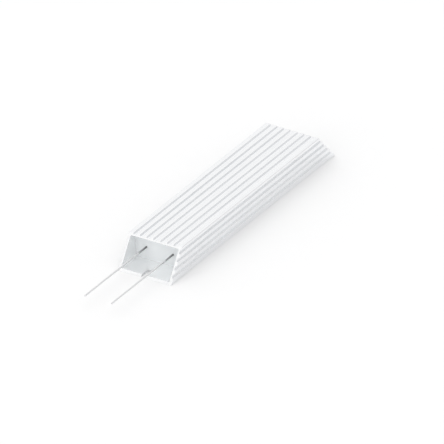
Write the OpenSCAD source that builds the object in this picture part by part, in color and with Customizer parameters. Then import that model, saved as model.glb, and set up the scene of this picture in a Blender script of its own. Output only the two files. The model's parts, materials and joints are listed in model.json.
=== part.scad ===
// Aluminium housed power resistor.
// One extruded housing with slanted ends holds two wound ceramic cores in series.
// Frame: origin at the centre of the mounting face, +X along the length with the
// leads leaving towards -X, +Y across the width, +Z up away from the mounting face.

/* [Housing] */
// Overall length of the housing, measured on the mounting face
body_l = 265; // [255:5:335]
// Overall width of the housing
body_w = 60; // [60:1:66]
// Overall height of the housing
body_h = 30; // [30:1:34]
// How far the top edge stands back from the mounting edge at each end
end_setback = 22; // [12:1:24]
// Thickness of the two side walls, ribs included
side_wall = 3; // [2.8:0.1:3.4]
// Thickness of the top wall, lands included
top_wall = 2.4; // [2.2:0.1:2.8]
// Thickness of the base plate
base_wall = 2.2; // [2:0.1:2.6]
// Radius along the two long top corners
corner_r = 2.2; // [1:0.1:2.2]
// Radius inside the four corners of the bore
bore_corner_r = 1; // [0.6:0.1:1.2]
// Small radius on the edge of every land and rib
edge_r = 0.25; // [0.1:0.05:0.35]

/* [Grooves] */
// Number of lands on each side of the middle groove, outer land not counted
top_lands = 3; // [2:1:3]
// Distance between neighbouring lands on the same side of the middle groove
top_pitch = 7.4; // [7:0.1:7.5]
// Width of a top groove
top_groove_w = 4.2; // [3:0.1:4.5]
// How much wider the middle groove is
mid_groove_extra = 0.8; // [0:0.1:1]
// Depth of a top groove
top_groove_d = 1.2; // [0.8:0.1:1.3]
// Number of long grooves in each side
side_grooves = 4; // [3:1:4]
// Distance between neighbouring side grooves
side_pitch = 6.3; // [5.6:0.1:6.3]
// Width of a side groove
side_groove_w = 3.1; // [2.4:0.1:3.4]
// Depth of a side groove
side_groove_d = 1.5; // [1:0.1:1.6]
// Height of the rib above the highest side groove
side_first = 2.6; // [2.6:0.1:3.4]

/* [Mounting slots] */
// Width of the open slot in the base plate at each end
slot_w = 7; // [6:0.5:9]
// Distance from the end of the base plate to the centre of the slot's round end
slot_in = 8.5; // [7:0.5:10]

/* [End seals] */
// Distance from the end of the base plate to the outer face of the seal
seal_in = 27; // [25:0.5:30]
// Thickness of each end seal
seal_t = 8; // [6:0.5:10]
// Thickness of the ceramic plate behind each seal
spacer_t = 3; // [2:0.5:4]

/* [Leads] */
// Distance between the two leads, which is also the distance between the cores
lead_pitch = 29.8; // [28:0.2:32]
// Height of the leads above the mounting face
lead_z = 14.9; // [14.5:0.1:15.3]
// Diameter of the tinned outer stretch of each lead
lead_d = 1.6; // [1.2:0.1:2]
// Diameter of the thinner wire that each lead is welded to inside its sleeve
lead_in_d = 1.2; // [0.8:0.1:1.2]
// Length of lead that shows outside the seal
lead_free = 99.5; // [60:0.5:150]
// Outer diameter of the sleeve where a lead leaves the seal
sleeve_d = 2; // [2:0.1:3]
// Length of sleeve that shows outside the seal
sleeve_free = 12.5; // [6:0.5:20]

/* [Resistance element] */
// Diameter of each ceramic core
core_d = 16; // [14:0.5:17]
// Diameter of the hole along each core
core_bore_d = 6; // [4:0.5:8]
// Diameter of the resistance wire
wire_d = 0.8; // [0.6:0.1:1]
// Distance between neighbouring turns of the winding
turn_pitch = 2.5; // [2:0.5:4]
// Wall of the metal caps on the ends of the cores
cap_t = 1; // [0.8:0.1:1.2]
// Length of each cap
cap_l = 9; // [7:0.5:12]
// Outer diameter of the crimp ferrules
ferrule_d = 4.4; // [3.6:0.2:6]
// Length of the crimp ferrules
ferrule_l = 10; // [8:0.5:12]
// Thickness of the link strip across the far caps
link_t = 1; // [0.6:0.1:1.5]
// Width of the link strip
link_w = 8; // [6:0.5:12]
// Thickness of each mica sheet
mica_t = 0.8; // [0.5:0.1:1]

/* [Hidden] */
$fn = 48;
e = 0.01;

half_l = body_l / 2;
half_w = body_w / 2;
bore_half_w = half_w - side_wall;
bore_z0 = base_wall;
bore_z1 = body_h - top_wall;
land_w = top_pitch - top_groove_w;
rib_h = side_pitch - side_groove_w;

seal_x = half_l - seal_in;          // outer face of the seals
spacer_x = seal_x - seal_t;         // outer face of the spacers
chamber_x = spacer_x - spacer_t;    // inner face of the spacers
cap_x = chamber_x - ferrule_l;      // outer face of the caps
core_x = cap_x - cap_t;             // end of the cores
cap_r = core_d / 2 + cap_t;
wire_r0 = core_d / 2;
tip_x = seal_x + lead_free;         // free end of the leads
sleeve_x = seal_x + sleeve_free;    // mouth of the sleeves
mica_half_w = bore_half_w - bore_corner_r;

// Rectangle with its own radius at each corner, in the order
// bottom left, bottom right, top right, top left
module rounded_box(x0, y0, x1, y1, r) {
  difference() {
    translate([x0, y0]) square([x1 - x0, y1 - y0]);
    corner_cut(x0, y0, 1, 1, r[0]);
    corner_cut(x1, y0, -1, 1, r[1]);
    corner_cut(x1, y1, -1, -1, r[2]);
    corner_cut(x0, y1, 1, -1, r[3]);
  }
}

// What is taken away from one corner to leave a radius
module corner_cut(x, y, sx, sy, r) {
  if (r > 0)
    translate([x, y]) scale([sx, sy]) difference() {
      translate([-1, -1]) square([1 + r, 1 + r]);
      translate([r, r]) circle(r = r);
    }
}

// Outline of the extrusion: a plain block with lands on top and ribs on its sides
module outer_section() {
  mid = (top_groove_w + mid_groove_extra) / 2;
  gx = mid + top_lands * top_pitch;
  z_first = body_h - side_first;
  z_last = z_first - side_grooves * side_pitch + rib_h;
  union() {
    translate([-half_w + side_groove_d, 0])
      square([body_w - 2 * side_groove_d, body_h - top_groove_d]);
    for (s = [-1, 1]) scale([s, 1]) {
      for (i = [0 : top_lands - 1])
        rounded_box(mid + i * top_pitch, body_h - 2 * top_groove_d,
                    mid + i * top_pitch + land_w, body_h, [0, 0, edge_r, edge_r]);
      rounded_box(gx, z_first, half_w, body_h, [0, edge_r, corner_r, edge_r]);
      for (i = [1 : side_grooves - 1])
        rounded_box(half_w - 2 * side_groove_d, z_first - i * side_pitch,
                    half_w, z_first - i * side_pitch + rib_h,
                    [0, edge_r, edge_r, 0]);
      rounded_box(half_w - 2 * side_groove_d, 0, half_w, z_last,
                  [0, 0.5, edge_r, 0]);
    }
  }
}

// Section of the rectangular bore
module bore_section() {
  rounded_box(-bore_half_w, bore_z0, bore_half_w, bore_z1,
              [bore_corner_r, bore_corner_r, bore_corner_r, bore_corner_r]);
}

// Lays a section drawn in the YZ plane along X from x0 to x1
module along_x(x0, x1) {
  translate([x0, 0, 0]) rotate([90, 0, 90]) linear_extrude(height = x1 - x0) children();
}

// A round bar along X, centred on a lead axis
module bar_x(x0, x1, side, r) {
  translate([x0, side * lead_pitch / 2, lead_z]) rotate([0, 90, 0])
    cylinder(h = x1 - x0, r = r);
}

// Extruded housing with both ends sawn on a slant and a slot at each end
module housing() {
  color([0.90, 0.91, 0.93])
  difference() {
    intersection() {
      along_x(-half_l, half_l) difference() {
        outer_section();
        bore_section();
      }
      rotate([90, 0, 0]) linear_extrude(height = body_w + 2, center = true)
        polygon([[-half_l, -1e-9], [half_l, -1e-9],
                 [half_l - end_setback, body_h + 1e-9],
                 [-half_l + end_setback, body_h + 1e-9]]);
    }
    for (s = [-1, 1]) {
      translate([s * (half_l - slot_in), 0, -1]) cylinder(h = base_wall + 2, d = slot_w);
      translate([s * (half_l - slot_in / 2 + 2), 0, base_wall / 2])
        cube([slot_in + 4, slot_w, base_wall + 2], center = true);
    }
  }
}

// Cement plug that closes the bore where the leads come out
module near_end_seal() {
  color([0.80, 0.81, 0.81])
  difference() {
    along_x(-seal_x, -spacer_x) bore_section();
    for (s = [-1, 1]) bar_x(-seal_x - 1, -spacer_x + 1, s, sleeve_d / 2);
  }
}

// Cement plug that closes the other end of the bore
module far_end_seal() {
  color([0.80, 0.81, 0.81]) along_x(spacer_x, seal_x) bore_section();
}

// Stiff tinned wire from its free end to the mouth of its sleeve, and from
// there a thinner wire to the bottom of its ferrule
module lead(side) {
  color([0.82, 0.83, 0.84]) union() {
    bar_x(-tip_x, -sleeve_x, side, lead_d / 2);
    bar_x(-sleeve_x - 1, -cap_x, side, lead_in_d / 2);
  }
}
module left_lead() { lead(1); }
module right_lead() { lead(-1); }

// Insulating sleeve on the lead, through the seal and a little way out of it
module sleeve(side) {
  color([0.12, 0.12, 0.13])
  difference() {
    bar_x(-sleeve_x, -spacer_x, side, sleeve_d / 2);
    bar_x(-sleeve_x - 1, -spacer_x + 1, side, lead_in_d / 2);
  }
}
module left_sleeve() { sleeve(1); }
module right_sleeve() { sleeve(-1); }

// Ceramic plate behind the seal, with a hole for each lead
module near_spacer() {
  color([0.93, 0.91, 0.86])
  difference() {
    along_x(-spacer_x, -chamber_x) bore_section();
    for (s = [-1, 1]) bar_x(-spacer_x - 1, -chamber_x + 1, s, lead_in_d / 2);
  }
}

// Plain ceramic plate at the other end
module far_spacer() {
  color([0.93, 0.91, 0.86]) along_x(chamber_x, spacer_x) bore_section();
}

// Ceramic former that carries one winding
module core(side) {
  color([0.95, 0.93, 0.88])
  difference() {
    bar_x(-core_x, core_x, side, core_d / 2);
    bar_x(-core_x - 1, core_x + 1, side, core_bore_d / 2);
  }
}
module left_core() { core(1); }
module right_core() { core(-1); }

// Resistance wire, wound from cap to cap; every turn shows as a round crest
module winding(side) {
  len = 2 * (cap_x - cap_l);
  n = floor(len / turn_pitch);
  p = len / n;
  color([0.55, 0.50, 0.45])
  translate([-len / 2, side * lead_pitch / 2, lead_z]) rotate([0, 90, 0])
    rotate_extrude()
      polygon(concat(
        [[wire_r0, 0]],
        [for (i = [0 : n - 1]) each [
          [wire_r0 + 0.1, i * p + e],
          [wire_r0 + 0.1, (i + 0.5) * p - wire_d / 2],
          [wire_r0 + wire_d, (i + 0.5) * p - wire_d / 5],
          [wire_r0 + wire_d, (i + 0.5) * p + wire_d / 5],
          [wire_r0 + 0.1, (i + 0.5) * p + wire_d / 2]]],
        [[wire_r0 + 0.1, len], [wire_r0, len]]));
}
module left_winding() { winding(1); }
module right_winding() { winding(-1); }

// Metal cap pressed on one end of a core; dir is the end it closes
module cap(side, dir) {
  color([0.70, 0.70, 0.72])
  difference() {
    bar_x(dir < 0 ? -cap_x : cap_x - cap_l, dir < 0 ? -cap_x + cap_l : cap_x, side, cap_r);
    bar_x(dir < 0 ? -core_x : cap_x - cap_l - 1, dir < 0 ? -cap_x + cap_l + 1 : core_x,
          side, core_d / 2);
  }
}
module left_near_cap() { cap(1, -1); }
module right_near_cap() { cap(-1, -1); }
module left_far_cap() { cap(1, 1); }
module right_far_cap() { cap(-1, 1); }

// Ferrule crimped on the lead and welded to the cap
module ferrule(side) {
  color([0.78, 0.72, 0.55])
  difference() {
    bar_x(-chamber_x, -cap_x, side, ferrule_d / 2);
    bar_x(-chamber_x - 1, -cap_x + 1, side, lead_in_d / 2);
  }
}
module left_ferrule() { ferrule(1); }
module right_ferrule() { ferrule(-1); }

// Strip welded across the two far caps, which puts the cores in series
module link_strip() {
  color([0.70, 0.70, 0.72])
    translate([cap_x, -lead_pitch / 2 - link_w / 2, lead_z - link_w / 2])
      cube([link_t, lead_pitch + link_w, link_w]);
}

// Mica sheet between the cement and the top wall or the base plate
module mica_sheet(z0) {
  color([0.80, 0.76, 0.66])
    translate([-chamber_x, -mica_half_w, z0]) cube([2 * chamber_x, 2 * mica_half_w, mica_t]);
}
module upper_mica_sheet() { mica_sheet(bore_z1 - mica_t); }
module lower_mica_sheet() { mica_sheet(bore_z0); }

// Cement poured round the cores, filling the rest of the bore
module cement_filling() {
  color([0.72, 0.72, 0.70])
  difference() {
    along_x(-chamber_x, chamber_x) bore_section();
    for (z0 = [bore_z0, bore_z1 - mica_t])
      translate([-chamber_x - 1, -mica_half_w, z0 - (z0 > body_h / 2 ? 0 : 1)])
        cube([2 * chamber_x + 2, 2 * mica_half_w, mica_t + 1]);
    for (s = [-1, 1]) {
      bar_x(-chamber_x - 1, -cap_x, s, ferrule_d / 2);
      bar_x(-cap_x, cap_x, s, cap_r);
    }
    translate([cap_x - e, -lead_pitch / 2 - link_w / 2, lead_z - link_w / 2])
      cube([link_t + e, lead_pitch + link_w, link_w]);
  }
}

housing();
near_end_seal();
far_end_seal();
left_lead();
right_lead();
left_sleeve();
right_sleeve();
near_spacer();
far_spacer();
left_core();
right_core();
left_winding();
right_winding();
left_near_cap();
right_near_cap();
left_far_cap();
right_far_cap();
left_ferrule();
right_ferrule();
link_strip();
upper_mica_sheet();
lower_mica_sheet();
cement_filling();
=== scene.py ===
import json
import math

import bmesh
import bpy
from mathutils import Matrix, Vector, noise


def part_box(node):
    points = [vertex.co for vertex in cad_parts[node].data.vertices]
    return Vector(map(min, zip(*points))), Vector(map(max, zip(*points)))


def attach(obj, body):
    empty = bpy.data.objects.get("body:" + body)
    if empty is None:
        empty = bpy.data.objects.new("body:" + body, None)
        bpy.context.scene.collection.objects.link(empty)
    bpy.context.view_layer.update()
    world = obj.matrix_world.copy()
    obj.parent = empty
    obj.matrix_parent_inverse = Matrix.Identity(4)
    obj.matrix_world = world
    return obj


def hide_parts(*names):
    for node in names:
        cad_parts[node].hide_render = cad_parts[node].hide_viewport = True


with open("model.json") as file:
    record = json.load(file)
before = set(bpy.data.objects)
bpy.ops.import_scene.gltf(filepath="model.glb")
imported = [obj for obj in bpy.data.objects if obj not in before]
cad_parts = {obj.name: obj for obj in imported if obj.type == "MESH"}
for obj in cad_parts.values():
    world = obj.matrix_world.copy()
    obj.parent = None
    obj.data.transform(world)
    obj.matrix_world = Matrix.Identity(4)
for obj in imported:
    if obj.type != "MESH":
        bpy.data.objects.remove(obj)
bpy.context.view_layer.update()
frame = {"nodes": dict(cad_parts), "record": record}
MM = 0.001

# ---------------------------------------------------------------- sizes, in mm
h_lo, h_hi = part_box("housing")
BODY_L = (h_hi.x - h_lo.x) / MM
BODY_W = (h_hi.y - h_lo.y) / MM
BODY_H = h_hi.z / MM
SETBACK = 22.0
SIDE_WALL, TOP_WALL, BASE_WALL = 3.0, 2.4, 2.2
CORNER_R, EDGE_R, BORE_R, FOOT_R, ROOT_R = 2.2, 0.25, 1.0, 0.5, 0.2
TOP_PITCH, TOP_GROOVE_W, TOP_GROOVE_D, MID_GROOVE_W, TOP_LANDS = 7.4, 4.2, 1.2, 5.0, 3
SIDE_GROOVES, SIDE_PITCH, SIDE_GROOVE_W, SIDE_GROOVE_D, SIDE_FIRST = 4, 6.3, 3.1, 1.5, 2.6
SLOT_W, SLOT_IN = 7.0, 8.5
BREAK = 0.16                       # edge break left on the sawn ends
HALF_L, HALF_W = BODY_L / 2, BODY_W / 2
BORE_Y, BORE_Z0, BORE_Z1 = HALF_W - SIDE_WALL, BASE_WALL, BODY_H - TOP_WALL

s_lo, s_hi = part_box("near_end_seal")
SEAL_X0, SEAL_X1 = -s_lo.x / MM, -s_hi.x / MM      # outer and inner face, as distances
l_lo, l_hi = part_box("left_lead")
LEAD_Y = (l_lo.y + l_hi.y) / 2 / MM
LEAD_Z = (l_lo.z + l_hi.z) / 2 / MM
LEAD_R = (l_hi.z - l_lo.z) / 2 / MM
TIP_X, LEAD_IN_X = l_lo.x / MM, l_hi.x / MM
v_lo, v_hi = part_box("left_sleeve")
SLEEVE_R = (v_hi.z - v_lo.z) / 2 / MM
SLEEVE_X0, SLEEVE_X1 = v_lo.x / MM, v_hi.x / MM


# ---------------------------------------------------------------- materials
class Tree:
    """A material's node tree, with short calls for the nodes used here."""

    def __init__(self, name):
        self.mat = bpy.data.materials.new(name)
        self.mat.use_nodes = True
        self.t = self.mat.node_tree
        self.n = self.t.nodes
        self.shader = self.n["Principled BSDF"]
        self.co = self.n.new("ShaderNodeTexCoord").outputs["Object"]

    def link(self, a, b):
        self.t.links.new(a, b)

    def stretch(self, x, y, z, source=None):
        m = self.n.new("ShaderNodeMapping")
        m.inputs["Scale"].default_value = (x, y, z)
        self.link(source or self.co, m.inputs["Vector"])
        return m.outputs["Vector"]

    def noise(self, vector, scale, detail=3.0, rough=0.55):
        m = self.n.new("ShaderNodeTexNoise")
        m.inputs["Scale"].default_value = scale
        m.inputs["Detail"].default_value = detail
        m.inputs["Roughness"].default_value = rough
        self.link(vector, m.inputs["Vector"])
        return m.outputs["Fac"]

    def voronoi(self, vector, scale, feature="F1"):
        m = self.n.new("ShaderNodeTexVoronoi")
        m.feature = feature
        m.inputs["Scale"].default_value = scale
        self.link(vector, m.inputs["Vector"])
        return m.outputs["Distance"]

    def ramp(self, fac, stops):
        m = self.n.new("ShaderNodeValToRGB")
        e = m.color_ramp.elements
        while len(e) < len(stops):
            e.new(0.5)
        for el, (p, c) in zip(e, stops):
            el.position = p
            el.color = (*c, 1) if len(c) == 3 else c
        self.link(fac, m.inputs["Fac"])
        return m.outputs["Color"]

    def span(self, fac, lo, hi, f0=0.3, f1=0.7):
        m = self.n.new("ShaderNodeMapRange")
        m.inputs["From Min"].default_value = f0
        m.inputs["From Max"].default_value = f1
        m.inputs["To Min"].default_value = lo
        m.inputs["To Max"].default_value = hi
        self.link(fac, m.inputs["Value"])
        return m.outputs["Result"]

    def math(self, op, a, b):
        m = self.n.new("ShaderNodeMath")
        m.operation = op
        for s, v in zip(m.inputs, (a, b)):
            if isinstance(v, (int, float)):
                s.default_value = v
            else:
                self.link(v, s)
        return m.outputs["Value"]

    def bump(self, height, distance, strength=1.0, base=None):
        m = self.n.new("ShaderNodeBump")
        m.inputs["Strength"].default_value = strength
        m.inputs["Distance"].default_value = distance
        self.link(height, m.inputs["Height"])
        if base is not None:
            self.link(base, m.inputs["Normal"])
        return m.outputs["Normal"]

    def put(self, **sockets):
        for k, v in sockets.items():
            s = self.shader.inputs[k.replace("_", " ")]
            if isinstance(v, (int, float, tuple)):
                s.default_value = v
            else:
                self.link(v, s)


def aluminium():
    """Clear anodised extrusion: long fine die lines, faint cloudiness, satin gloss."""
    m = Tree("satin_aluminium")
    lines = m.noise(m.stretch(6, 2600, 2600), 1.0, 4.0, 0.65)
    bands = m.noise(m.stretch(2, 260, 260), 1.0, 2.0, 0.5)
    cloud = m.noise(m.co, 34, 4.0, 0.6)
    mix = m.math("ADD", m.math("MULTIPLY", bands, 0.65), m.math("MULTIPLY", cloud, 0.35))
    m.put(
        Base_Color=m.ramp(mix, [(0.30, (0.885, 0.895, 0.910)), (0.55, (0.915, 0.922, 0.935)), (0.75, (0.930, 0.936, 0.946))]),
        Metallic=1.0,
        Roughness=m.span(m.math("ADD", m.math("MULTIPLY", lines, 0.6), m.math("MULTIPLY", cloud, 0.4)), 0.15, 0.24),
        Normal=m.bump(lines, 0.00002, 0.5, m.bump(cloud, 0.00004, 0.25)),
    )
    return m.mat


def bore_aluminium():
    """The skin inside the bore: the same die lines, duller, with some white scatter."""
    m = Tree("bore_aluminium")
    lines = m.noise(m.stretch(6, 1800, 1800), 1.0, 4.0, 0.65)
    cloud = m.noise(m.co, 60, 4.0, 0.6)
    m.put(
        Base_Color=m.ramp(cloud, [(0.30, (0.895, 0.905, 0.912)), (0.70, (0.930, 0.938, 0.944))]),
        Metallic=0.62,
        Roughness=m.span(m.math("ADD", m.math("MULTIPLY", lines, 0.6), m.math("MULTIPLY", cloud, 0.4)), 0.18, 0.28),
        Normal=m.bump(lines, 0.00002, 0.5),
    )
    return m.mat


def sawn_aluminium():
    """The sawn end faces: parallel tooth marks across the wall, brighter and rougher."""
    m = Tree("sawn_aluminium")
    marks = m.noise(m.stretch(40, 40, 3200), 1.0, 3.0, 0.6)
    cloud = m.noise(m.co, 160, 3.0, 0.6)
    m.put(
        Base_Color=m.ramp(marks, [(0.30, (0.90, 0.905, 0.915)), (0.70, (0.95, 0.953, 0.958))]),
        Metallic=1.0,
        Roughness=m.span(cloud, 0.32, 0.42),
        Normal=m.bump(marks, 0.00004, 0.6),
    )
    return m.mat


def slot_shade_aluminium():
    """The slots' walls: fine cutter marks up the wall, dull, with a darker base colour that is painted shade where the
    slot walls lie in shadow.
    """
    m = Tree("slot_shade_aluminium")
    marks = m.noise(m.stretch(1400, 1400, 60), 1.0, 3.0, 0.6)
    cloud = m.noise(m.co, 200, 3.0, 0.6)
    m.put(
        Base_Color=m.ramp(marks, [(0.30, (0.66, 0.67, 0.68)), (0.70, (0.76, 0.77, 0.78))]),
        Metallic=1.0,
        Roughness=m.span(cloud, 0.36, 0.48),
        Normal=m.bump(marks, 0.00003, 0.5),
    )
    return m.mat


def cement(name, dark, light, scale=260, rough=(0.45, 0.62), depth=0.00010, specular=0.5):
    m = Tree(name)
    grain = m.noise(m.co, scale * 6, 5.0, 0.65)
    patch = m.noise(m.co, scale * 0.35, 4.0, 0.6)
    pits = m.span(m.voronoi(m.co, scale * 2.2), 0.0, 1.0, 0.03, 0.20)
    mix = m.math("ADD", m.math("MULTIPLY", patch, 0.6), m.math("MULTIPLY", grain, 0.4))
    m.put(
        Base_Color=m.ramp(mix, [(0.32, dark), (0.68, light)]),
        Roughness=m.span(patch, *rough),
        Specular_IOR_Level=specular,
        Normal=m.bump(pits, depth, 0.35, m.bump(grain, depth * 0.5, 0.4)),
    )
    return m.mat


def wire_metal(name, dark, light, rough=(0.24, 0.36), along=(12, 1800, 1800), metallic=1.0):
    m = Tree(name)
    draw = m.noise(m.stretch(*along), 1.0, 3.0, 0.6)
    spots = m.noise(m.co, 900, 3.0, 0.6)
    mix = m.math("ADD", m.math("MULTIPLY", draw, 0.5), m.math("MULTIPLY", spots, 0.5))
    m.put(
        Base_Color=m.ramp(mix, [(0.32, dark), (0.68, light)]),
        Metallic=metallic,
        Roughness=m.span(spots, *rough),
        Normal=m.bump(draw, 0.00002, 0.5),
    )
    return m.mat


def rubbery(name, dark, light):
    """Thin dark sleeve, greyer towards its mouth: painted light there, the part deeper in the recess kept darker as
    painted shade.
    """
    m = Tree(name)
    fine = m.noise(m.co, 2600, 3.0, 0.6)
    rings = m.noise(m.stretch(900, 60, 60), 1.0, 2.0, 0.5)
    along = m.n.new("ShaderNodeSeparateXYZ")
    m.link(m.co, along.inputs[0])
    # painted shade: the sleeve is darker deeper in the recess and lighter towards its mouth, where light falls
    lit_towards_mouth = m.span(along.outputs["X"], 1.0, 0.0, SLEEVE_X0 * MM, (SLEEVE_X0 + 11) * MM)
    mix = m.math("ADD", m.math("MULTIPLY", lit_towards_mouth, 0.8), m.math("MULTIPLY", fine, 0.2))
    m.put(
        Base_Color=m.ramp(mix, [(0.06, dark), (0.94, light)]),
        Roughness=m.span(rings, 0.38, 0.55),
        Specular_IOR_Level=0.5,
        Normal=m.bump(rings, 0.00003, 0.5),
    )
    return m.mat


def flaky(name, dark, light):
    m = Tree(name)
    leaf = m.voronoi(m.stretch(1, 1, 0.2), 130)
    soft = m.noise(m.co, 60, 4.0, 0.6)
    mix = m.math("ADD", m.math("MULTIPLY", leaf, 0.5), m.math("MULTIPLY", soft, 0.5))
    m.put(
        Base_Color=m.ramp(mix, [(0.30, dark), (0.62, light)]),
        Roughness=m.span(leaf, 0.20, 0.42, 0.1, 0.7),
        Specular_IOR_Level=0.6,
        Normal=m.bump(leaf, 0.00006, 0.4),
    )
    return m.mat


MAT = {
    "housing_aluminium": aluminium(),
    "seal_cement": cement("seal_cement", (0.775, 0.800, 0.812), (0.838, 0.862, 0.872), 220, (0.34, 0.48), 0.00006),
    "tinned_wire": wire_metal("tinned_wire", (0.66, 0.665, 0.67), (0.78, 0.785, 0.79), (0.42, 0.56), metallic=0.7),
    "sleeve": rubbery("dark_sleeve", (0.135, 0.140, 0.147), (0.400, 0.408, 0.416)),
    "spacer_ceramic": cement("pale_ceramic", (0.80, 0.77, 0.70), (0.88, 0.86, 0.80), 400, (0.60, 0.75), 0.00004, 0.4),
    "core_ceramic": cement("core_ceramic", (0.84, 0.81, 0.74), (0.90, 0.88, 0.82), 500, (0.55, 0.70), 0.00003, 0.4),
    "resistance_wire": wire_metal("resistance_wire", (0.26, 0.22, 0.19), (0.50, 0.45, 0.40), (0.35, 0.55), (1500, 60, 60)),
    "cap_steel": wire_metal("plated_steel", (0.56, 0.56, 0.57), (0.70, 0.70, 0.71), (0.22, 0.34), (300, 300, 300)),
    "ferrule_brass": wire_metal("crimped_brass", (0.62, 0.48, 0.22), (0.78, 0.64, 0.34), (0.24, 0.40), (40, 900, 900)),
    "mica": flaky("mica", (0.50, 0.44, 0.33), (0.74, 0.68, 0.56)),
    "filling_cement": cement("filling_cement", (0.42, 0.42, 0.41), (0.60, 0.60, 0.58), 120, (0.75, 0.92), 0.00030, 0.3),
}
SAWN = sawn_aluminium()
BORE = bore_aluminium()
SLOT_SHADE = slot_shade_aluminium()
HOUSING_SKINS = [MAT["housing_aluminium"], SAWN, BORE, SLOT_SHADE]


# ---------------------------------------------------------------- mesh helpers
def rounded(points, steps=None):
    """A closed outline with its own radius at each corner: points are (y, z, radius), counter-clockwise."""
    out, n = [], len(points)
    for i in range(n):
        (ay, az, _), (y, z, r), (by, bz, _) = points[i - 1], points[i], points[(i + 1) % n]
        p, u, v = Vector((y, z)), Vector((ay - y, az - z)), Vector((by - y, bz - z))
        if r <= 0:
            out.append((y, z))
            continue
        r = min(r, 0.48 * u.length, 0.48 * v.length)
        u, v = u.normalized(), v.normalized()
        c = p + (u + v) * r                       # all corners here are right angles
        a0 = math.atan2(*reversed(p + u * r - c))
        a1 = math.atan2(*reversed(p + v * r - c))
        d = (a1 - a0 + math.pi) % (2 * math.pi) - math.pi
        k = steps or (10 if r > 0.7 else 5 if r > 0.2 else 3)
        for j in range(k + 1):
            a = a0 + d * j / k
            out.append((c.x + r * math.cos(a), c.y + r * math.sin(a)))
    return out


def offset(loop, d):
    """The outline moved to its left by d (into a counter-clockwise one)."""
    out, n = [], len(loop)
    for i in range(n):
        a, p, b = Vector(loop[i - 1]), Vector(loop[i]), Vector(loop[(i + 1) % n])
        u, v = (p - a).normalized(), (b - p).normalized()
        n1, n2 = Vector((-u.y, u.x)), Vector((-v.y, v.x))
        m = (n1 + n2).normalized()
        q = p + m * d / max(0.5, m.dot(n1))
        out.append((q.x, q.y))
    return out


def finish_mesh(bm, name, mats, angle=32):
    bmesh.ops.recalc_face_normals(bm, faces=bm.faces[:])
    me = bpy.data.meshes.new(name)
    bm.to_mesh(me)
    bm.free()
    me.transform(Matrix.Scale(MM, 4))
    for m in mats:
        me.materials.append(m)
    me.shade_smooth()
    me.set_sharp_from_angle(angle=math.radians(angle))
    ob = bpy.data.objects.new(name, me)
    bpy.context.scene.collection.objects.link(ob)
    return ob


def apply_modifiers(ob):
    dg = bpy.context.evaluated_depsgraph_get()
    me = bpy.data.meshes.new_from_object(ob.evaluated_get(dg), preserve_all_data_layers=True, depsgraph=dg)
    ob.modifiers.clear()
    old = ob.data
    ob.data = me
    bpy.data.meshes.remove(old)


def cut(ob, cutters):
    for c in cutters:
        m = ob.modifiers.new("cut", "BOOLEAN")
        m.operation, m.solver, m.object = "DIFFERENCE", "EXACT", c
    apply_modifiers(ob)
    for c in cutters:
        me = c.data
        bpy.data.objects.remove(c)
        bpy.data.meshes.remove(me)


def bridge(bm, a, b, mat=0):
    n = len(a)
    for i in range(n):
        j = (i + 1) % n
        f = bm.faces.new((a[i], a[j], b[j], b[i]))
        f.material_index = mat


def place(ob, slot, *nodes):
    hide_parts(*nodes)
    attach(ob, "root")
    return ob


# ---------------------------------------------------------------- housing
def end_x(z):
    return HALF_L - SETBACK * z / BODY_H


def outer_outline():
    w, h = HALF_W, BODY_H
    side = [(w, 0, FOOT_R)]
    z = h - SIDE_FIRST - SIDE_GROOVES * SIDE_PITCH + (SIDE_PITCH - SIDE_GROOVE_W)
    for _ in range(SIDE_GROOVES):
        side += [(w, z, EDGE_R), (w - SIDE_GROOVE_D, z, ROOT_R)]
        z += SIDE_GROOVE_W
        side += [(w - SIDE_GROOVE_D, z, ROOT_R), (w, z, EDGE_R)]
        z += SIDE_PITCH - SIDE_GROOVE_W
    side.append((w, h, CORNER_R))
    top = []
    land = TOP_PITCH - TOP_GROOVE_W
    walls = [MID_GROOVE_W / 2]
    for _ in range(TOP_LANDS):
        walls += [walls[-1] + land, walls[-1] + land + TOP_GROOVE_W]
    walls = walls[::-1] + [-y for y in walls]      # groove walls from one side to the other
    for a, b in zip(walls[::2], walls[1::2]):
        top += [(a, h, EDGE_R), (a, h - TOP_GROOVE_D, ROOT_R), (b, h - TOP_GROOVE_D, ROOT_R), (b, h, EDGE_R)]
    other = [(-y, z, r) for y, z, r in reversed(side)]
    return rounded(side + top + other)


def bore_outline():
    return rounded([(-BORE_Y, BORE_Z0, BORE_R), (BORE_Y, BORE_Z0, BORE_R), (BORE_Y, BORE_Z1, BORE_R), (-BORE_Y, BORE_Z1, BORE_R)])


def slot_cutter(s):
    """Keyhole-free open slot, with a small chamfer at both faces of the base plate."""
    bm = bmesh.new()
    rings = []
    for z, grow in ((-1.0, 1.1), (0.08, 0.0), (BASE_WALL - 0.06, 0.0), (BASE_WALL + 1.0, 1.06)):
        r = SLOT_W / 2 + grow
        ring = []
        cx = HALF_L - SLOT_IN
        for k in range(49):
            a = math.pi / 2 + math.pi * k / 48
            ring.append((s * (cx + r * math.cos(a)), r * math.sin(a), z))
        ring += [(s * (HALF_L + 6), -r, z), (s * (HALF_L + 6), r, z)]
        rings.append([bm.verts.new(p) for p in ring])
    for a, b in zip(rings, rings[1:]):
        # the slot walls take skin 3, whose darker colour is painted shade
        bridge(bm, a, b, 3)
    bm.faces.new(rings[0])
    bm.faces.new(rings[-1])
    return finish_mesh(bm, "slot_cutter", HOUSING_SKINS)


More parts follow.
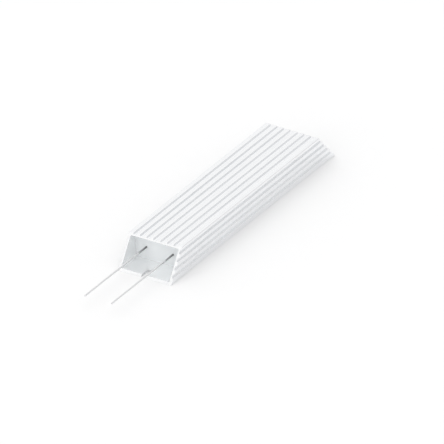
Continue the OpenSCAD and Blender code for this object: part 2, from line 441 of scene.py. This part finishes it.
def make_housing():
    bm = bmesh.new()
    outer, bore = outer_outline(), bore_outline()
    outer_in, bore_out = offset(outer, BREAK), offset(bore, -BREAK)

    def ring(loop, s, shift):
        return [bm.verts.new((s * (end_x(z) - shift), y, z)) for y, z in loop]

    for full, small, in_hole in ((outer, outer_in, False), (bore, bore_out, True)):
        a = ring(small, -1, 0.0)
        b = ring(full, -1, BREAK)
        c = ring(full, 1, BREAK)
        d = ring(small, 1, 0.0)
        skin = 2 if in_hole else 0
        bridge(bm, a, b, skin)
        # the long faces are cut across in places, closely at the ends, so that they stay flat
        prev = b
        for t in (0.0015, 0.12, 0.25, 0.37, 0.5, 0.63, 0.75, 0.88, 0.9985):
            mid = [bm.verts.new(b[i].co.lerp(c[i].co, t)) for i in range(len(b))]
            bridge(bm, prev, mid, skin)
            prev = mid
        bridge(bm, prev, c, skin)
        bridge(bm, c, d, skin)
        if not in_hole:
            near_o, far_o = a, d
        else:
            near_i, far_i = a, d
    for o, i in ((near_o, near_i), (far_o, far_i)):
        edges = []
        for loop in (o, i):
            for k in range(len(loop)):
                e = bm.edges.get((loop[k], loop[(k + 1) % len(loop)]))
                edges.append(e)
        res = bmesh.ops.triangle_fill(bm, use_beauty=True, use_dissolve=False, edges=edges)
        for f in res["geom"]:
            if isinstance(f, bmesh.types.BMFace):
                f.material_index = 1
    ob = finish_mesh(bm, "housing_shell", HOUSING_SKINS)
    cut(ob, [slot_cutter(-1), slot_cutter(1)])
    me = ob.data
    me.shade_smooth()
    me.set_sharp_from_angle(angle=math.radians(50))
    w = ob.modifiers.new("flat", "WEIGHTED_NORMAL")
    w.mode, w.weight, w.keep_sharp, w.thresh = "FACE_AREA", 100, True, 0.00001
    apply_modifiers(ob)
    return place(ob, "housing_aluminium", "housing")


# ---------------------------------------------------------------- end seals
def make_seal(name, s, holes, seed):
    """Poured cement: its face is a little uneven and creeps up the walls and the sleeves."""
    bm = bmesh.new()
    y1, z0, z1, r = BORE_Y, BORE_Z0, BORE_Z1, BORE_R
    ny, nz = 108, 52
    x_out, x_in = SEAL_X0, SEAL_X1

    def inside(y, z):
        """The point moved into the bore's rounded corner if it lies outside it."""
        cy = max(-y1 + r, min(y1 - r, y))
        cz = max(z0 + r, min(z1 - r, z))
        dy, dz = y - cy, z - cz
        d = math.hypot(dy, dz)
        if dy and dz and d > r:
            return cy + dy * r / d, cz + dz * r / d
        return y, z

    def front(y, z):
        wall = min(y1 - abs(y), z - z0, z1 - z)
        up = 0.03 * math.exp(-max(wall, 0) / 0.6)
        if holes:
            for ly in (LEAD_Y, -LEAD_Y):
                q = math.hypot(y - ly, z - LEAD_Z) - SLEEVE_R
                up += 0.14 * math.exp(-max(q, 0) / 0.5)
        up += 0.16 * noise.noise(Vector((y * 0.11 + seed, z * 0.13, seed * 1.7)))
        up += 0.05 * noise.noise(Vector((y * 0.6, z * 0.6 + seed, 3.1)))
        return s * (x_out + up - 0.08)

    def even(a, b, k, n):
        return a + (b - a) * k / n

    grid = []
    for j in range(nz + 1):
        row = []
        for i in range(ny + 1):
            y, z = inside(even(-y1, y1, i, ny), even(z0, z1, j, nz))
            row.append(bm.verts.new((front(y, z), y, z)))
        grid.append(row)
    for j in range(nz):
        for i in range(ny):
            bm.faces.new((grid[j][i], grid[j][i + 1], grid[j + 1][i + 1], grid[j + 1][i]))
    rim = [grid[0][i] for i in range(ny)] + [grid[j][ny] for j in range(nz)]
    rim += [grid[nz][i] for i in range(ny, 0, -1)] + [grid[j][0] for j in range(nz, 0, -1)]
    back = [bm.verts.new((s * x_in, v.co.y, v.co.z)) for v in rim]
    bridge(bm, rim, back)
    bm.faces.new(back)
    ob = finish_mesh(bm, name, [MAT["seal_cement"]], 40)
    if holes:
        cutters = []
        for ly in (LEAD_Y, -LEAD_Y):
            cb = bmesh.new()
            rr = [[cb.verts.new((s * x, ly + (SLEEVE_R + 0.01) * math.cos(2 * math.pi * k / 40), LEAD_Z + (SLEEVE_R + 0.01) * math.sin(2 * math.pi * k / 40))) for k in range(40)] for x in (x_out + 3, x_in - 2)]
            bridge(cb, rr[0], rr[1])
            cb.faces.new(rr[0])
            cb.faces.new(rr[1])
            cutters.append(finish_mesh(cb, "hole", []))
        cut(ob, cutters)
        ob.data.shade_smooth()
        ob.data.set_sharp_from_angle(angle=math.radians(40))
    return place(ob, "seal_cement", name)


# ---------------------------------------------------------------- leads and sleeves
def lathe(name, profile, y0, z0, mat, seg=40, wobble=0.0, seed=0.0, angle=35):
    """A closed profile of (x, radius) turned round the line through (y0, z0) along X."""
    bm = bmesh.new()
    rings = []
    for x, r in profile:
        if r == 0:
            rings.append(bm.verts.new((x, y0, z0)))
            continue
        ring = []
        for k in range(seg):
            a = 2 * math.pi * k / seg
            g = r + wobble * noise.noise(Vector((x * 0.05 + seed, math.cos(a), math.sin(a))))
            ring.append(bm.verts.new((x, y0 + g * math.cos(a), z0 + g * math.sin(a))))
        rings.append(ring)
    closed = profile[0][1] != 0
    pairs = list(zip(rings, rings[1:])) + ([(rings[-1], rings[0])] if closed else [])
    for a, b in pairs:
        if isinstance(a, list) and isinstance(b, list):
            bridge(bm, a, b)
        else:
            tip, ring = (a, b) if isinstance(b, list) else (b, a)
            for k in range(seg):
                bm.faces.new((tip, ring[k], ring[(k + 1) % seg]))
    return finish_mesh(bm, name, [mat], angle)


def make_lead(name, y, seed):
    """Drawn wire, cropped at its tip, with the slight ridges that a cutter leaves there."""
    r = LEAD_R
    thin = 0.6
    prof = [(TIP_X, 0), (TIP_X + 0.02, 0.35), (TIP_X + 0.05, 0.62), (TIP_X + 0.16, 0.74), (TIP_X + 0.38, r - 0.005), (TIP_X + 0.8, r)]
    n = 46
    for k in range(1, n):
        prof.append((TIP_X + 0.8 + (SLEEVE_X0 - 0.3 - TIP_X - 0.8) * k / n, r))
    prof += [(SLEEVE_X0 - 0.3, r), (SLEEVE_X0 - 0.12, r - 0.04), (SLEEVE_X0 - 0.02, thin + 0.06), (SLEEVE_X0 + 0.1, thin), (LEAD_IN_X - 0.1, thin), (LEAD_IN_X, thin - 0.1), (LEAD_IN_X, 0)]
    ob = lathe(name, prof, y, LEAD_Z, MAT["tinned_wire"], 32, 0.012, seed)
    return place(ob, "tinned_wire", name)


def make_sleeve(name, y, seed):
    """Thin sleeve with a cut, slightly flared mouth."""
    x0, x1, r = SLEEVE_X0, SLEEVE_X1, SLEEVE_R - 0.06
    prof = [(x0, 0.74), (x0 + 0.02, r - 0.07), (x0 + 0.08, r - 0.02), (x0 + 0.24, r - 0.01)]
    n = 20
    for k in range(n + 1):
        prof.append((x0 + 0.5 + (x1 - x0 - 0.6) * k / n, r - 0.02))
    prof += [(x1, r - 0.04), (x1, 0.63), (x0 + 0.9, 0.63), (x0 + 0.5, 0.66), (x0 + 0.2, 0.70)]
    ob = lathe(name, prof, y, LEAD_Z, MAT["sleeve"], 40, 0.015, seed)
    return place(ob, "sleeve", name)


make_housing()
make_seal("near_end_seal", -1, True, 2.3)
make_seal("far_end_seal", 1, False, 7.9)
for nm, sy, sd in (("left", 1, 1.0), ("right", -1, 5.0)):
    make_lead(nm + "_lead", sy * LEAD_Y, sd)
    make_sleeve(nm + "_sleeve", sy * LEAD_Y, sd + 2)

# the sealed-in pieces keep their own solids, each with its own material
slot_of = {p["node"]: p["material_slot"] for p in frame["record"]["subparts"]}
for node, ob in frame["nodes"].items():
    ob.data.materials.clear()
    ob.data.materials.append(MAT[slot_of[node]])
    ob.data.shade_smooth()
    ob.data.set_sharp_from_angle(angle=math.radians(35))


# ---------------------------------------------------------------- floor, light, camera
def stage_floor():
    bm = bmesh.new()
    n, half = 8, 6000.0
    grid = [[bm.verts.new((-half + 2 * half * i / n, -half + 2 * half * j / n, -0.02)) for i in range(n + 1)] for j in range(n + 1)]
    for j in range(n):
        for i in range(n):
            bm.faces.new((grid[j][i], grid[j][i + 1], grid[j + 1][i + 1], grid[j + 1][i]))
    m = Tree("pale_floor")
    fine = m.noise(m.co, 40, 3.0, 0.5)
    m.put(
        Base_Color=m.ramp(fine, [(0.3, (0.838, 0.838, 0.840)), (0.7, (0.842, 0.842, 0.842))]),
        Roughness=0.9,
        Specular_IOR_Level=0.0,
    )
    ob = finish_mesh(bm, "floor", [m.mat])


stage_floor()

world = bpy.data.worlds.new("studio")
bpy.context.scene.world = world
world.use_nodes = True
wt = world.node_tree
bg = wt.nodes["Background"]
bg.inputs["Strength"].default_value = 1.0


def w_node(kind, **values):
    nd = wt.nodes.new(kind)
    for k, v in values.items():
        setattr(nd, k, v)
    return nd


gen = w_node("ShaderNodeTexCoord").outputs["Generated"]


def soft_light(total, azimuth, elevation, tightness, level):
    """Adds one wide soft light, brightest at its direction and fading smoothly away from it."""
    a, e = math.radians(azimuth), math.radians(elevation)
    dot = w_node("ShaderNodeVectorMath", operation="DOT_PRODUCT")
    wt.links.new(gen, dot.inputs[0])
    dot.inputs[1].default_value = (math.cos(e) * math.cos(a), math.cos(e) * math.sin(a), math.sin(e))
    fade = w_node("ShaderNodeMath", operation="MULTIPLY_ADD")
    wt.links.new(dot.outputs["Value"], fade.inputs[0])
    fade.inputs[1].default_value, fade.inputs[2].default_value = tightness, -tightness
    glow = w_node("ShaderNodeMath", operation="EXPONENT")
    wt.links.new(fade.outputs[0], glow.inputs[0])
    sized = w_node("ShaderNodeMath", operation="MULTIPLY_ADD")
    wt.links.new(glow.outputs[0], sized.inputs[0])
    sized.inputs[1].default_value = level
    if isinstance(total, float):
        sized.inputs[2].default_value = total
    else:
        wt.links.new(total, sized.inputs[2])
    return sized.outputs[0]


sky = 0.772                                       # even fill from everywhere
for light in ((0, 88, 6, 0.75),                   # overhead
              (188, 45, 6, 0.70),                 # in front, high
              (180, 12, 6, 0.35),                 # in front, low
              (53, 45, 6, 0.255)):                 # behind, to the left
    sky = soft_light(sky, *light)
# in mirror-like reflections the lights stop short of white, so that the metal isn't burnt out from any side
path = w_node("ShaderNodeLightPath")
limit = w_node("ShaderNodeMath", operation="MULTIPLY_ADD")
wt.links.new(path.outputs["Is Glossy Ray"], limit.inputs[0])
limit.inputs[1].default_value, limit.inputs[2].default_value = -8.95, 10.0
seen = w_node("ShaderNodeMath", operation="MINIMUM")
wt.links.new(sky, seen.inputs[0])
wt.links.new(limit.outputs[0], seen.inputs[1])
wt.links.new(seen.outputs[0], bg.inputs["Color"])

AZ, EL, ROLL, SCALE = 217.247, 30.546, -4.733, 1087.0
ORIGIN_PX = (225.782 - 221.5, 221.5 - 212.207)
ca, sa = math.cos(math.radians(AZ)), math.sin(math.radians(AZ))
ce, se = math.cos(math.radians(EL)), math.sin(math.radians(EL))
c = Vector((ce * ca, ce * sa, se))
right = (-c).cross(Vector((0, 0, 1))).normalized()
up = right.cross(-c)
cr, sr = math.cos(math.radians(ROLL)), math.sin(math.radians(ROLL))
R = right * cr + up * sr
U = -right * sr + up * cr
cam_data = bpy.data.cameras.new("camera")
cam_data.type = "ORTHO"
cam_data.ortho_scale = 444 / SCALE
cam_data.clip_start, cam_data.clip_end = 0.05, 30
cam = bpy.data.objects.new("camera", cam_data)
bpy.context.scene.collection.objects.link(cam)
loc = -R * ORIGIN_PX[0] / SCALE - U * ORIGIN_PX[1] / SCALE + c * 2.0
m3 = Matrix((R, U, c)).transposed()
cam.matrix_world = Matrix.Translation(loc) @ m3.to_4x4()
bpy.context.scene.camera = cam

scene = bpy.context.scene
scene.view_settings.view_transform = "Standard"
scene.view_settings.look = "None"
scene.view_settings.exposure = 0.0
scene.view_settings.gamma = 1.0
